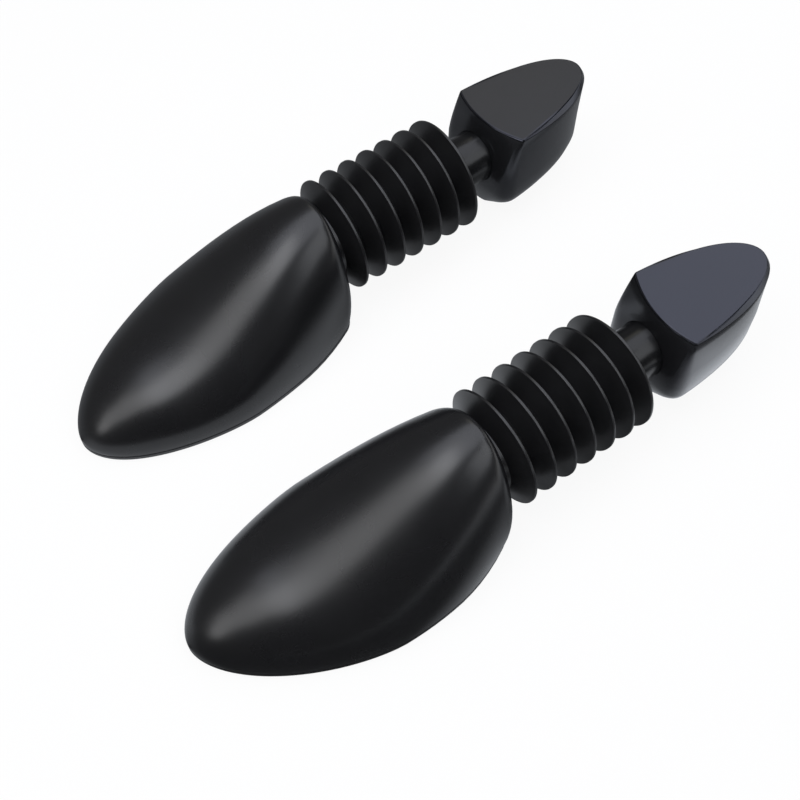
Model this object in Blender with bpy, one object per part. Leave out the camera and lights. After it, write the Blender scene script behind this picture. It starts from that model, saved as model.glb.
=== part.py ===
"""A pair of sprung shoe trees: two moulded forefoot lasts, each pushed towards the
shoe's toe by a coil spring under a pleated bellows, with a heel block on a sliding stem.

Each tree lies along Y, toe towards -Y, and both stand on Z = 0. The left tree is at +X.
All sizes are in metres. Stations along a tree are measured from named faces, and the
overall length follows from them.
"""

import math

import bmesh
import bpy
from mathutils import Vector

# Fits between pieces
SEAT_GAP = 0.0003
RUNNING_GAP = 0.0003

# How the pair lies
PAIR_SPACING = 0.130
PAIR_STAGGER = 0.010
AXIS_HEIGHT = 0.0324
STROKE = 0.036

# Forefoot: plan, side view and walls
FOREFOOT_LENGTH = 0.1350
BALL_HALF_WIDTH = 0.0407
BALL_FROM_TOE = 0.0713
REAR_HALF_WIDTH = 0.0294
REAR_HEIGHT = 0.0600
TOE_HEIGHT = 0.0241
TOE_NOSE = 0.0372
TOE_SWING = 0.0103
REAR_SET = 0.0007
FOREFOOT_WALL = 0.0026
REAR_EDGE_ROUND = 0.0037
REAR_CORNER_ROUND = 0.0066
BASE_TUCK = 0.0043
BASE_TUCK_START = 0.0975
BASE_TUCK_HEIGHT = 0.0298
TOE_FLAT = 0.0003
TOE_LEAST_RISE = 0.0030
SOLE_THICKNESS = 0.0030
SOLE_EDGE_ROUND = 0.0010
SOLE_RIB_HEIGHT = 0.0030
SOLE_RIB_WIDTH = 0.0016
SOLE_RIB_CLEARANCE = 0.0008

# Shape exponents of the forefoot: plan of the toe and rear, cross section, rise of the instep
TOE_PLAN_POWER = 1.54
TOE_PLAN_ROOT = 1.84
REAR_PLAN_POWER = 2.1
SECTION_POWER = 2.12
INSTEP_POWER = 1.35

# Bellows
PLEAT_COUNT = 7
PLEAT_PITCH = 0.01035
CREST_RADIUS = 0.0270
CREST_WIDTH = 0.0012
VALLEY_RADIUS = 0.0175
BELLOWS_WALL = 0.0010
NECK_GAP = 0.0080
REAR_CUFF = 0.0020
REAR_PLEAT_DEPTH = 0.0025

# Stem, guide and stop
STEM_RADIUS = 0.0080
STEM_BORE_RADIUS = 0.0055
STEM_END_WALL = 0.0060
STEM_REACH = 0.0189
STEM_SOCKET = 0.0220
NECK_RADIUS = 0.0125
NECK_BORE_RADIUS = 0.0095
NECK_STEP_WALL = 0.0030
GUIDE_WALL = 0.0012
GUIDE_LIP_LENGTH = 0.0140
GUIDE_BEHIND_CREST = 0.0180
GUIDE_TAIL = 0.0050
GUIDE_FLANGE_RADIUS = 0.0150
GUIDE_FLANGE_THICKNESS = 0.0025
STOP_LIP = 0.0015
STOP_THICKNESS = 0.0040
KEY_WIDTH = 0.0030
SCREW_RADIUS = 0.0016
SCREW_HEAD_RADIUS = 0.0032
SCREW_HEAD_HEIGHT = 0.0020
SCREW_DEPTH = 0.0050

# Collars that carry the bellows and the spring
FRONT_COLLAR_LENGTH = 0.0040
REAR_COLLAR_LENGTH = 0.0040

# Spring
SPRING_WIRE = 0.0018
SPRING_MEAN_RADIUS = 0.0128
SPRING_TURNS = 9
SPRING_END_PITCH = 0.0024

# Heel block and lid
HEEL_LENGTH = 0.0650
HEEL_HEIGHT = 0.0550
HEEL_HALF_WIDTH = 0.0235
HEEL_WALL = 0.0026
HEEL_SWING_DEGREES = 2.6
HEEL_FRONT_BOW = 0.0016
HEEL_SIDE_POWER = 2.15
HEEL_TOP_NARROWING = 0.0022
HEEL_TOP_SHIFT = 0.0011
HEEL_CORNER_LEAN = 0.0072
HEEL_FRONT_LEAN = 0.0038
HEEL_FRONT_SKEW = 0.0012
HEEL_CORNER_ROUND = 0.0070
HEEL_TOP_CORNER_ROUND = 0.0008
HEEL_FOOT_HEIGHT = 0.0200
HEEL_FOOT_SIDE_TUCK = 0.0122
HEEL_FOOT_FRONT_TUCK = 0.0052
HEEL_FOOT_CORNER_TUCK = 0.0100
HEEL_FOOT_REAR_TUCK = 0.0150
HEEL_LEAN_POWER = 1.3
HEEL_TUCK_POWER = 1.5
LID_THICKNESS = 0.0030
LID_CHAMFER = 0.0016
LID_CHAMFER_RUN_OUT = 0.0040
LID_PLUG_DEPTH = 0.0030
BOSS_WALL = 0.0030
BOSS_START = 0.0028
BOSS_END = 0.0240
PIN_RADIUS = 0.0015
PIN_FROM_FRONT = 0.0140

# Fineness of the facets
ROUND_STEPS = 28
SECTION_POINTS = 21
FOREFOOT_STATIONS = 16
CAVITY_STATIONS = 9
CAVITY_SPACING_POWER = 1.5
ROUNDING_STEPS = 4
SPRING_POINTS_PER_TURN = 10
HEEL_FRONT_POINTS = 5
HEEL_CORNER_POINTS = 4
HEEL_SIDE_POINTS = 10
HEEL_FOOT_LEVELS = (0.0, 0.15, 0.35, 0.6, 1.0)
SHARP_ANGLE_DEGREES = 35

# Stations along a tree, measured from the middle of its length
TREE_LENGTH = (FOREFOOT_LENGTH + NECK_GAP + (PLEAT_COUNT - 1) * PLEAT_PITCH
               + STEM_REACH + HEEL_LENGTH)
TOE_Y = -TREE_LENGTH / 2
WALL_Y = TOE_Y + FOREFOOT_LENGTH
FIRST_CREST_Y = WALL_Y + NECK_GAP
LAST_CREST_Y = FIRST_CREST_Y + (PLEAT_COUNT - 1) * PLEAT_PITCH
HEEL_FRONT_Y = LAST_CREST_Y + STEM_REACH
REAR_COLLAR_Y = LAST_CREST_Y - REAR_COLLAR_LENGTH
NECK_START_Y = LAST_CREST_Y + SEAT_GAP
FRONT_COLLAR_Y = WALL_Y + SEAT_GAP
GUIDE_MOUTH_Y = FIRST_CREST_Y + GUIDE_BEHIND_CREST
GUIDE_LIP_Y = GUIDE_MOUTH_Y - GUIDE_LIP_LENGTH
STOP_Y = GUIDE_LIP_Y - SEAT_GAP - STOP_THICKNESS
STEM_FRONT_Y = STOP_Y + STOP_THICKNESS + SEAT_GAP
GUIDE_FRONT_Y = STOP_Y - STROKE - GUIDE_TAIL

# Radii that follow from the stem and its clearances
GUIDE_LIP_RADIUS = STEM_RADIUS + RUNNING_GAP
STOP_RADIUS = STEM_RADIUS + STOP_LIP
GUIDE_BORE_RADIUS = STOP_RADIUS + RUNNING_GAP
GUIDE_RADIUS = GUIDE_BORE_RADIUS + GUIDE_WALL
GUIDE_SEAT_RADIUS = GUIDE_RADIUS + SEAT_GAP
STEM_SEAT_RADIUS = STEM_RADIUS + SEAT_GAP
SPIGOT_RADIUS = VALLEY_RADIUS - BELLOWS_WALL - SEAT_GAP
NECK_SEAT_RADIUS = NECK_RADIUS + SEAT_GAP
BOSS_RADIUS = NECK_SEAT_RADIUS + BOSS_WALL
CUFF_RADIUS = NECK_SEAT_RADIUS + BELLOWS_WALL

# Heights of the parting lines, above the ground
SHELL_BASE = SOLE_THICKNESS + SEAT_GAP
LID_BASE = HEEL_HEIGHT - LID_THICKNESS
HEEL_SHELL_TOP = LID_BASE - SEAT_GAP


def clear_scene():
    """Start from an empty scene."""
    for old in list(bpy.data.objects):
        bpy.data.objects.remove(old, do_unlink=True)


def make_material(name, colour, roughness, metallic=0.0):
    """A plain material for one object."""
    material = bpy.data.materials.new(name)
    material.use_nodes = True
    shader = material.node_tree.nodes["Principled BSDF"]
    shader.inputs["Base Color"].default_value = (*colour, 1.0)
    shader.inputs["Roughness"].default_value = roughness
    shader.inputs["Metallic"].default_value = metallic
    return material


def add_object(name, bm, parent, place, finish):
    """Turn a bmesh into a named object on its parent, with its own material."""
    bmesh.ops.recalc_face_normals(bm, faces=bm.faces)
    mesh = bpy.data.meshes.new(name)
    bm.to_mesh(mesh)
    bm.free()
    mesh.shade_smooth()
    mesh.set_sharp_from_angle(angle=math.radians(SHARP_ANGLE_DEGREES))
    thing = bpy.data.objects.new(name, mesh)
    bpy.context.collection.objects.link(thing)
    thing.parent = parent
    thing.location = place
    thing.data.materials.append(make_material(name, *finish))
    return thing


def add_tool(name, bm, parent, place):
    """Add a shape that only serves a Boolean: it is hidden and drawn as wire."""
    thing = add_object(name, bm, parent, place, ((0.5, 0.5, 0.5), 0.5))
    thing.hide_render = True
    thing.display_type = "WIRE"
    return thing


def add_boolean(thing, tool, operation):
    """Join a tool to an object, or cut it out of the object."""
    step = thing.modifiers.new(tool.name, "BOOLEAN")
    step.object = tool
    step.operation = operation
    step.solver = "EXACT"


def loft(rings):
    """Join closed rings of equal length, one after the other, and cap both ends."""
    bm = bmesh.new()
    rows = [[bm.verts.new(point) for point in ring] for ring in rings]
    for front, back in zip(rows, rows[1:]):
        for i in range(len(front)):
            bm.faces.new((front[i - 1], front[i], back[i], back[i - 1]))
    bm.faces.new(rows[0])
    bm.faces.new(rows[-1])
    return bm


def turned(profile):
    """Turn a closed outline of (radius, y) points about the Y axis."""
    bm = bmesh.new()
    verts = [bm.verts.new((radius, y, 0.0)) for radius, y in profile]
    edges = [bm.edges.new((verts[i - 1], verts[i])) for i in range(len(verts))]
    bmesh.ops.spin(bm, geom=verts + edges, cent=(0, 0, 0), axis=(0, 1, 0), dvec=(0, 0, 0),
                   angle=math.tau, steps=ROUND_STEPS, use_merge=True, use_duplicate=False)
    return bm


def rod(radius, length, along="Y"):
    """A solid cylinder that starts at its origin and runs along Y or Z."""
    bm = bmesh.new()
    bmesh.ops.create_cone(bm, cap_ends=True, segments=ROUND_STEPS, radius1=radius,
                          radius2=radius, depth=length)
    bmesh.ops.translate(bm, verts=bm.verts, vec=(0, 0, length / 2))
    if along == "Y":
        for vert in bm.verts:
            vert.co = Vector((vert.co.x, vert.co.z, -vert.co.y))
    return bm


def block(size, centre):
    """A box of a size about a centre."""
    bm = bmesh.new()
    bmesh.ops.create_cube(bm, size=1.0)
    bmesh.ops.scale(bm, verts=bm.verts, vec=size)
    bmesh.ops.translate(bm, verts=bm.verts, vec=centre)
    return bm


def inset_outline(points, distances):
    """Move each point of a closed plan outline inwards by its own distance."""
    moved = []
    count = len(points)
    for i, point in enumerate(points):
        before = Vector(point) - Vector(points[i - 1])
        after = Vector(points[(i + 1) % count]) - Vector(point)
        first = Vector((-before.y, before.x)).normalized()
        second = Vector((-after.y, after.x)).normalized()
        step = (first + second) * (distances[i] / (1.0 + first.dot(second)))
        moved.append((point[0] + step.x, point[1] + step.y))
    return moved


def at_height(points, height):
    """Lift a plan outline to a height above the ground, in the frame of the axis."""
    return [(x, y, height - AXIS_HEIGHT) for x, y in points]


# Forefoot: its plan and side view as functions of the distance from the toe

def forefoot_half_width(station):
    """Half the width: a rounded toe up to the ball, then an easy taper to the rear."""
    if station < BALL_FROM_TOE:
        share = 1.0 - station / BALL_FROM_TOE
        return BALL_HALF_WIDTH * (1.0 - share ** TOE_PLAN_POWER) ** (1.0 / TOE_PLAN_ROOT)
    share = (station - BALL_FROM_TOE) / (FOREFOOT_LENGTH - BALL_FROM_TOE)
    return BALL_HALF_WIDTH - (BALL_HALF_WIDTH - REAR_HALF_WIDTH) * share ** REAR_PLAN_POWER


def forefoot_height(station):
    """Height of the crown above the ground: a rounded nose, then the rising instep."""
    share = station / FOREFOOT_LENGTH
    rise = (1.0 - math.cos(math.pi * share ** INSTEP_POWER)) / 2
    height = TOE_HEIGHT + (REAR_HEIGHT - TOE_HEIGHT) * rise
    if station < TOE_NOSE:
        height *= math.sqrt(1.0 - (1.0 - station / TOE_NOSE) ** 2)
    return max(height, SHELL_BASE + TOE_LEAST_RISE)


def forefoot_centre(station, side):
    """Sideways place of the middle line, which swings inwards at the toe."""
    swing = TOE_SWING * (1.0 - station / FOREFOOT_LENGTH) ** 2
    return -side * (REAR_SET + swing)


def rear_rounding(station, radius, wall):
    """How far a rounding of the rear edge draws the section in, inside a wall."""
    inner = radius - wall
    past = station - (FOREFOOT_LENGTH - radius)
    if past <= 0.0:
        return 0.0
    return inner - math.sqrt(max(inner ** 2 - past ** 2, 0.0))


def section_half_width(station, wall):
    """Half the width inside a wall, with the rear corners rounded in plan."""
    rounding = rear_rounding(station, REAR_CORNER_ROUND, wall)
    return forefoot_half_width(station) - wall - rounding


def base_tuck(station):
    """How far the lower edge is drawn in on either side, more and more towards the rear."""
    share = max(station - BASE_TUCK_START, 0.0) / (FOREFOOT_LENGTH - BASE_TUCK_START)
    return BASE_TUCK * share ** 2


def forefoot_stations():
    """Stations from the toe back: close together at the toe and at the rear rounding."""
    start = FOREFOOT_LENGTH - REAR_CORNER_ROUND
    stations = []
    for i in range(FOREFOOT_STATIONS):
        share = i / (FOREFOOT_STATIONS - 1)
        stations.append(TOE_FLAT + (start - TOE_FLAT) * share ** 2)
    for i in range(1, ROUNDING_STEPS + 1):
        turn = math.pi / 2 * i / ROUNDING_STEPS
        stations.append(start + REAR_CORNER_ROUND * math.sin(turn))
    return stations


def cavity_stations():
    """Stations of the hollow inside the shell, closer together at the toe."""
    first = 2 * FOREFOOT_WALL
    last = FOREFOOT_LENGTH - FOREFOOT_WALL
    shares = [(i / (CAVITY_STATIONS - 1)) ** CAVITY_SPACING_POWER for i in range(CAVITY_STATIONS)]
    return [first + (last - first) * share for share in shares]


def forefoot_ring(station, y, side, wall):
    """One arched cross section with a flat base inside a wall, as a closed ring."""
    centre = forefoot_centre(station, side)
    half_width = section_half_width(station, wall)
    rise = forefoot_height(station) - wall - SHELL_BASE - rear_rounding(station, REAR_EDGE_ROUND, wall)
    ring = []
    for i in range(SECTION_POINTS):
        angle = math.pi * i / (SECTION_POINTS - 1)
        across = math.copysign(abs(math.cos(angle)) ** (2.0 / SECTION_POWER), math.cos(angle))
        up = rise * abs(math.sin(angle)) ** (2.0 / SECTION_POWER)
        low = max(1.0 - up / BASE_TUCK_HEIGHT, 0.0) ** 2
        out = half_width * across - math.copysign(base_tuck(station) * low, across)
        ring.append((centre + out, y, SHELL_BASE + up - AXIS_HEIGHT))
    return ring


def forefoot_shell(tree, name, side, finish):
    """The hollow last: an arched loft, opened from below and holed for the guide."""
    rings = []
    for station in forefoot_stations():
        y = TOE_Y - TOE_FLAT + station
        rings.append(forefoot_ring(station, y, side, 0.0))
    shell = add_object(name + "_forefoot_shell", loft(rings), tree, (0, 0, 0), finish)

    drop = Vector((0, 0, SOLE_THICKNESS))
    rings = []
    for station in cavity_stations():
        ring = forefoot_ring(station, TOE_Y + station, side, FOREFOOT_WALL)
        rings.append([Vector(ring[0]) - drop] + ring[1:-1] + [Vector(ring[-1]) - drop])
    cavity = add_tool(name + "_forefoot_cavity", loft(rings), tree, (0, 0, 0))
    add_boolean(shell, cavity, "DIFFERENCE")

    hole = add_tool(name + "_guide_hole", rod(GUIDE_SEAT_RADIUS, 4 * FOREFOOT_WALL), tree,
                    (0, WALL_Y - 2 * FOREFOOT_WALL, 0))
    add_boolean(shell, hole, "DIFFERENCE")


def plan_outline(rows, inset):
    """Closed outline through rows of (centre, half width, y), counter-clockwise from above."""
    lateral = [(centre + half_width, y) for centre, half_width, y in rows]
    medial = [(centre - half_width, y) for centre, half_width, y in rows]
    outline = lateral + medial[::-1]
    return inset_outline(outline, [inset] * len(outline))


def forefoot_sole(tree, name, side, finish):
    """The thin sole plate, with a rib that stands up inside the shell."""
    edge = []
    for station in forefoot_stations():
        half_width = section_half_width(station, 0.0) - base_tuck(station)
        edge.append((forefoot_centre(station, side), half_width, TOE_Y - TOE_FLAT + station))
    hollow = []
    for station in cavity_stations():
        half_width = section_half_width(station, FOREFOOT_WALL) - base_tuck(station)
        hollow.append((forefoot_centre(station, side), half_width, TOE_Y + station))
    rib_top = SOLE_THICKNESS + SOLE_RIB_HEIGHT
    rib_inset = SOLE_RIB_CLEARANCE + SOLE_RIB_WIDTH
    plate = loft([
        at_height(plan_outline(edge, SOLE_EDGE_ROUND), 0.0),
        at_height(plan_outline(edge, 0.0), SOLE_EDGE_ROUND),
        at_height(plan_outline(edge, 0.0), SOLE_THICKNESS),
    ])
    sole = add_object(name + "_forefoot_sole", plate, tree, (0, 0, 0), finish)
    rib = loft([
        at_height(plan_outline(hollow, SOLE_RIB_CLEARANCE), SOLE_THICKNESS / 2),
        at_height(plan_outline(hollow, SOLE_RIB_CLEARANCE), rib_top),
        at_height(plan_outline(hollow, rib_inset), rib_top),
        at_height(plan_outline(hollow, rib_inset), SOLE_THICKNESS),
    ])
    add_boolean(sole, add_tool(name + "_sole_rib", rib, tree, (0, 0, 0)), "UNION")


def front_collar(tree, name, finish):
    """The collar behind the rear wall that carries the bellows and seats the spring."""
    bm = turned([
        (GUIDE_SEAT_RADIUS, 0.0),
        (SPIGOT_RADIUS, 0.0),
        (SPIGOT_RADIUS, FRONT_COLLAR_LENGTH),
        (GUIDE_SEAT_RADIUS, FRONT_COLLAR_LENGTH),
    ])
    add_object(name + "_front_collar", bm, tree, (0, FRONT_COLLAR_Y, 0), finish)


def bellows(tree, name, finish):
    """A pleated tube with narrow flat crests: a wide cuff in front, a close one on the neck."""
    half_crest = CREST_WIDTH / 2
    front = WALL_Y + SEAT_GAP - FIRST_CREST_Y
    outside = [(VALLEY_RADIUS, front)]
    inside = [(VALLEY_RADIUS - BELLOWS_WALL, front)]
    for i in range(PLEAT_COUNT):
        crest = i * PLEAT_PITCH
        outside.append((VALLEY_RADIUS, crest - PLEAT_PITCH / 2))
        outside.append((CREST_RADIUS, crest - half_crest))
        outside.append((CREST_RADIUS, crest + half_crest))
        inside.append((VALLEY_RADIUS - BELLOWS_WALL, crest - PLEAT_PITCH / 2))
        inside.append((CREST_RADIUS - BELLOWS_WALL, crest))
    cuff = (PLEAT_COUNT - 1) * PLEAT_PITCH + REAR_PLEAT_DEPTH
    outside.append((CUFF_RADIUS, cuff))
    outside.append((CUFF_RADIUS, cuff + REAR_CUFF))
    inside.append((NECK_SEAT_RADIUS, cuff - BELLOWS_WALL))
    inside.append((NECK_SEAT_RADIUS, cuff + REAR_CUFF))
    place = (0, FIRST_CREST_Y, 0)
    add_object(name + "_bellows", turned(outside + inside[::-1]), tree, place, finish)


def guide_tube(tree, name, finish):
    """The tube that the stem slides in, flanged behind the rear wall, with a key slot."""
    flange_rear = WALL_Y - FOREFOOT_WALL - SEAT_GAP - GUIDE_FRONT_Y
    flange_front = flange_rear - GUIDE_FLANGE_THICKNESS
    lip = GUIDE_LIP_Y - GUIDE_FRONT_Y
    mouth = GUIDE_MOUTH_Y - GUIDE_FRONT_Y
    bm = turned([
        (GUIDE_BORE_RADIUS, 0.0),
        (GUIDE_RADIUS, 0.0),
        (GUIDE_RADIUS, flange_front),
        (GUIDE_FLANGE_RADIUS, flange_front),
        (GUIDE_FLANGE_RADIUS, flange_rear),
        (GUIDE_RADIUS, flange_rear),
        (GUIDE_RADIUS, mouth),
        (GUIDE_LIP_RADIUS, mouth),
        (GUIDE_LIP_RADIUS, lip),
        (GUIDE_BORE_RADIUS, lip),
    ])
    tube = add_object(name + "_guide_tube", bm, tree, (0, GUIDE_FRONT_Y, 0), finish)
    slot_front = -GUIDE_TAIL
    slot_length = lip - slot_front
    slot_size = (KEY_WIDTH + 2 * RUNNING_GAP, slot_length, 2 * GUIDE_WALL)
    slot_centre = (0, slot_front + slot_length / 2, GUIDE_BORE_RADIUS + GUIDE_WALL / 2)
    slot = add_tool(name + "_key_slot", block(slot_size, slot_centre), tree, (0, GUIDE_FRONT_Y, 0))
    add_boolean(tube, slot, "DIFFERENCE")


def spring_path():
    """Centre line of the spring: close turns at both ends, open turns between them."""
    length = REAR_COLLAR_Y - (FRONT_COLLAR_Y + FRONT_COLLAR_LENGTH) - 2 * SEAT_GAP - SPRING_WIRE
    open_turns = SPRING_TURNS - 2
    open_pitch = (length - 2 * SPRING_END_PITCH) / open_turns
    points = []
    for i in range(SPRING_TURNS * SPRING_POINTS_PER_TURN + 1):
        turn = i / SPRING_POINTS_PER_TURN
        before = min(turn, 1.0) * SPRING_END_PITCH
        between = min(max(turn - 1.0, 0.0), open_turns) * open_pitch
        after = max(turn - 1.0 - open_turns, 0.0) * SPRING_END_PITCH
        angle = math.tau * turn
        points.append(Vector((SPRING_MEAN_RADIUS * math.cos(angle), before + between + after,
                              SPRING_MEAN_RADIUS * math.sin(angle))))
    return points


def least_gap(points):
    """Smallest distance between the surfaces of two turns, measured on the points."""
    least = math.inf
    half_turn = SPRING_POINTS_PER_TURN // 2
    for i, point in enumerate(points):
        for other in points[i + half_turn:]:
            least = min(least, (point - other).length - SPRING_WIRE)
    return least


def return_spring(tree, name, finish):
    """The compression spring, as one unbroken round wire."""
    points = spring_path()
    print(name, "spring: least gap to itself", round(least_gap(points) * 1000, 2), "mm")
    curve = bpy.data.curves.new(name + "_return_spring", "CURVE")
    curve.dimensions = "3D"
    curve.bevel_depth = SPRING_WIRE / 2
    curve.bevel_resolution = 1
    curve.use_fill_caps = True
    line = curve.splines.new("POLY")
    line.points.add(len(points) - 1)
    for knot, point in zip(line.points, points):
        knot.co = (*point, 1.0)
    spring = bpy.data.objects.new(name + "_return_spring", curve)
    bpy.context.collection.objects.link(spring)
    spring.parent = tree
    seat = FRONT_COLLAR_Y + FRONT_COLLAR_LENGTH + SEAT_GAP + SPRING_WIRE / 2
    spring.location = (0, seat, 0)
    curve.materials.append(make_material(name + "_return_spring", *finish))


# The sliding half: everything below moves with the heel

def heel_stem(carriage, name, finish):
    """A hollow stem: a thick neck at the heel, then a thinner rod with the stop on its end."""
    front = STEM_FRONT_Y - HEEL_FRONT_Y
    neck = NECK_START_Y - HEEL_FRONT_Y
    screw_hole = SCREW_RADIUS + SEAT_GAP
    bm = turned([
        (screw_hole, front),
        (STEM_RADIUS, front),
        (STEM_RADIUS, neck),
        (NECK_RADIUS, neck),
        (NECK_RADIUS, STEM_SOCKET),
        (NECK_BORE_RADIUS, STEM_SOCKET),
        (NECK_BORE_RADIUS, neck + NECK_STEP_WALL),
        (STEM_BORE_RADIUS, neck + NECK_STEP_WALL),
        (STEM_BORE_RADIUS, front + STEM_END_WALL),
        (screw_hole, front + STEM_END_WALL),
    ])
    stem = add_object(name + "_heel_stem", bm, carriage, (0, 0, 0), finish)
    add_boolean(stem, pin_hole(carriage, name + "_stem_pin_hole"), "DIFFERENCE")


def pin_hole(carriage, name):
    """A tool for the upright hole that takes the heel pin."""
    reach = BOSS_RADIUS + BOSS_WALL
    hole = rod(PIN_RADIUS + SEAT_GAP, 2 * reach, along="Z")
    return add_tool(name, hole, carriage, (0, PIN_FROM_FRONT, -reach))


def heel_pin(carriage, name, finish):
    """The upright pin through the boss and the stem."""
    pin = rod(PIN_RADIUS, 2 * BOSS_RADIUS, along="Z")
    add_object(name + "_heel_pin", pin, carriage, (0, PIN_FROM_FRONT, -BOSS_RADIUS), finish)


def stop_ring(carriage, name, finish):
    """The ring that stops the stem in the guide, with the key that keeps it from turning."""
    hole = SCREW_RADIUS + SEAT_GAP
    bm = turned([
        (hole, 0.0),
        (STOP_RADIUS, 0.0),
        (STOP_RADIUS, STOP_THICKNESS),
        (hole, STOP_THICKNESS),
    ])
    place = (0, STOP_Y - HEEL_FRONT_Y, 0)
    ring = add_object(name + "_stop_ring", bm, carriage, place, finish)
    low = STOP_RADIUS - GUIDE_WALL
    high = GUIDE_RADIUS - SEAT_GAP
    key_size = (KEY_WIDTH, STOP_THICKNESS, high - low)
    key = add_tool(name + "_stop_key", block(key_size, (0, STOP_THICKNESS / 2, (low + high) / 2)),
                   carriage, place)
    add_boolean(ring, key, "UNION")


def stop_screw(carriage, name, finish):
    """The screw that holds the stop ring on the end of the stem."""
    head_front = STOP_Y - SEAT_GAP - SCREW_HEAD_HEIGHT - HEEL_FRONT_Y
    shank = SCREW_HEAD_HEIGHT + SEAT_GAP + STOP_THICKNESS + SEAT_GAP + SCREW_DEPTH
    screw = add_object(name + "_stop_screw", rod(SCREW_HEAD_RADIUS, SCREW_HEAD_HEIGHT), carriage,
                       (0, head_front, 0), finish)
    body = add_tool(name + "_stop_screw_shank", rod(SCREW_RADIUS, shank), carriage, (0, head_front, 0))
    add_boolean(screw, body, "UNION")


def rear_collar(carriage, name, finish):
    """The collar against the neck's step that the spring pushes, inside the last pleat."""
    bm = turned([
        (STEM_SEAT_RADIUS, 0.0),
        (SPIGOT_RADIUS, 0.0),
        (SPIGOT_RADIUS, REAR_COLLAR_LENGTH),
        (STEM_SEAT_RADIUS, REAR_COLLAR_LENGTH),
    ])
    add_object(name + "_rear_collar", bm, carriage, (0, REAR_COLLAR_Y - HEEL_FRONT_Y, 0), finish)


def heel_outline(height, side):
    """Plan of the heel block at a height: bowed front, rounded corners, half-oval rear."""
    lean = max(height - AXIS_HEIGHT, 0.0) / (HEEL_HEIGHT - AXIS_HEIGHT)
    corner_lean = lean ** HEEL_LEAN_POWER
    tuck = (max(HEEL_FOOT_HEIGHT - height, 0.0) / HEEL_FOOT_HEIGHT) ** HEEL_TUCK_POWER
    half_width = HEEL_HALF_WIDTH - HEEL_TOP_NARROWING * lean - HEEL_FOOT_SIDE_TUCK * tuck
    front = HEEL_FRONT_LEAN * corner_lean + HEEL_FOOT_FRONT_TUCK * tuck
    corner = HEEL_FRONT_BOW + HEEL_CORNER_LEAN * corner_lean + HEEL_FOOT_CORNER_TUCK * tuck
    rear = HEEL_LENGTH - HEEL_FOOT_REAR_TUCK * tuck
    corner_round = HEEL_CORNER_ROUND + (HEEL_TOP_CORNER_ROUND - HEEL_CORNER_ROUND) * lean
    skew = HEEL_FRONT_SKEW * corner_lean
    halves = []
    for lead in (-side * skew, side * skew):
        halves.append(half_outline(half_width, front, corner, rear, corner_round, lead))
    shift = side * HEEL_TOP_SHIFT * lean
    outline = halves[0] + [(-x, y) for x, y in halves[1][-2:0:-1]]
    return [(x - shift, y) for x, y in outline]


def half_outline(half_width, front, corner, rear, corner_round, lead):
    """Half of the plan on its +X side, with a corner that lies back by a lead."""
    tip = Vector((half_width, corner + lead))
    depth = rear - tip.y

    def front_edge(x):
        share = x / half_width
        return front + (corner - front) * share ** 2 + lead * share

    def flank(turn):
        across = half_width * math.cos(turn)
        return across, tip.y + depth * math.sin(turn) ** (2.0 / HEEL_SIDE_POWER)

    edge_x = half_width - corner_round
    start = math.asin((corner_round / depth) ** (HEEL_SIDE_POWER / 2.0))
    half = []
    for i in range(HEEL_FRONT_POINTS):
        x = edge_x * i / HEEL_FRONT_POINTS
        half.append((x, front_edge(x)))
    first = Vector((edge_x, front_edge(edge_x)))
    last = Vector(flank(start))
    for i in range(HEEL_CORNER_POINTS):
        t = i / HEEL_CORNER_POINTS
        half.append(tuple(first * (1 - t) ** 2 + tip * 2 * t * (1 - t) + last * t ** 2))
    for i in range(HEEL_SIDE_POINTS + 1):
        half.append(flank(start + (math.pi / 2 - start) * i / HEEL_SIDE_POINTS))
    return half


def heel_rim(points, side):
    """Width of the lid's chamfer at each outline point: none along the front edge."""
    widths = []
    for x, y in points:
        corner = HEEL_FRONT_BOW + HEEL_CORNER_LEAN - side * HEEL_FRONT_SKEW * x / HEEL_HALF_WIDTH
        share = (y - corner) / LID_CHAMFER_RUN_OUT
        widths.append(LID_CHAMFER * min(max(share, 0.0), 1.0))
    return widths


def swung(points, side):
    """Turn a plan outline of the heel block outwards about the middle of its front."""
    turn = -side * math.radians(HEEL_SWING_DEGREES)
    return [(x * math.cos(turn) - y * math.sin(turn), x * math.sin(turn) + y * math.cos(turn))
            for x, y in points]


def heel_ring(height, inset, side):
    """One level of the heel block, drawn in by a wall where it is wanted."""
    points = heel_outline(height, side)
    return at_height(swung(inset_outline(points, [inset] * len(points)), side), height)


def heel_shell(carriage, name, side, finish):
    """The hollow heel block, open at the top, with the boss that the stem is pinned in."""
    foot = [HEEL_FOOT_HEIGHT * level for level in HEEL_FOOT_LEVELS]
    upper = [AXIS_HEIGHT, (AXIS_HEIGHT + HEEL_SHELL_TOP) / 2, HEEL_SHELL_TOP]
    rings = [heel_ring(height, 0.0, side) for height in foot + upper]
    plug_bottom = LID_BASE - LID_PLUG_DEPTH
    inner = [HEEL_SHELL_TOP, plug_bottom, AXIS_HEIGHT, HEEL_FOOT_HEIGHT, HEEL_FOOT_HEIGHT / 2, HEEL_WALL]
    rings += [heel_ring(height, HEEL_WALL, side) for height in inner]
    shell = add_object(name + "_heel_shell", loft(rings), carriage, (0, 0, 0), finish)

    boss = rod(BOSS_RADIUS, BOSS_END - BOSS_START)
    add_boolean(shell, add_tool(name + "_heel_boss", boss, carriage, (0, BOSS_START, 0)), "UNION")
    bore = rod(NECK_SEAT_RADIUS, 2 * BOSS_END)
    add_boolean(shell, add_tool(name + "_heel_bore", bore, carriage, (0, -BOSS_END / 2, 0)), "DIFFERENCE")
    add_boolean(shell, pin_hole(carriage, name + "_boss_pin_hole"), "DIFFERENCE")


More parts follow.
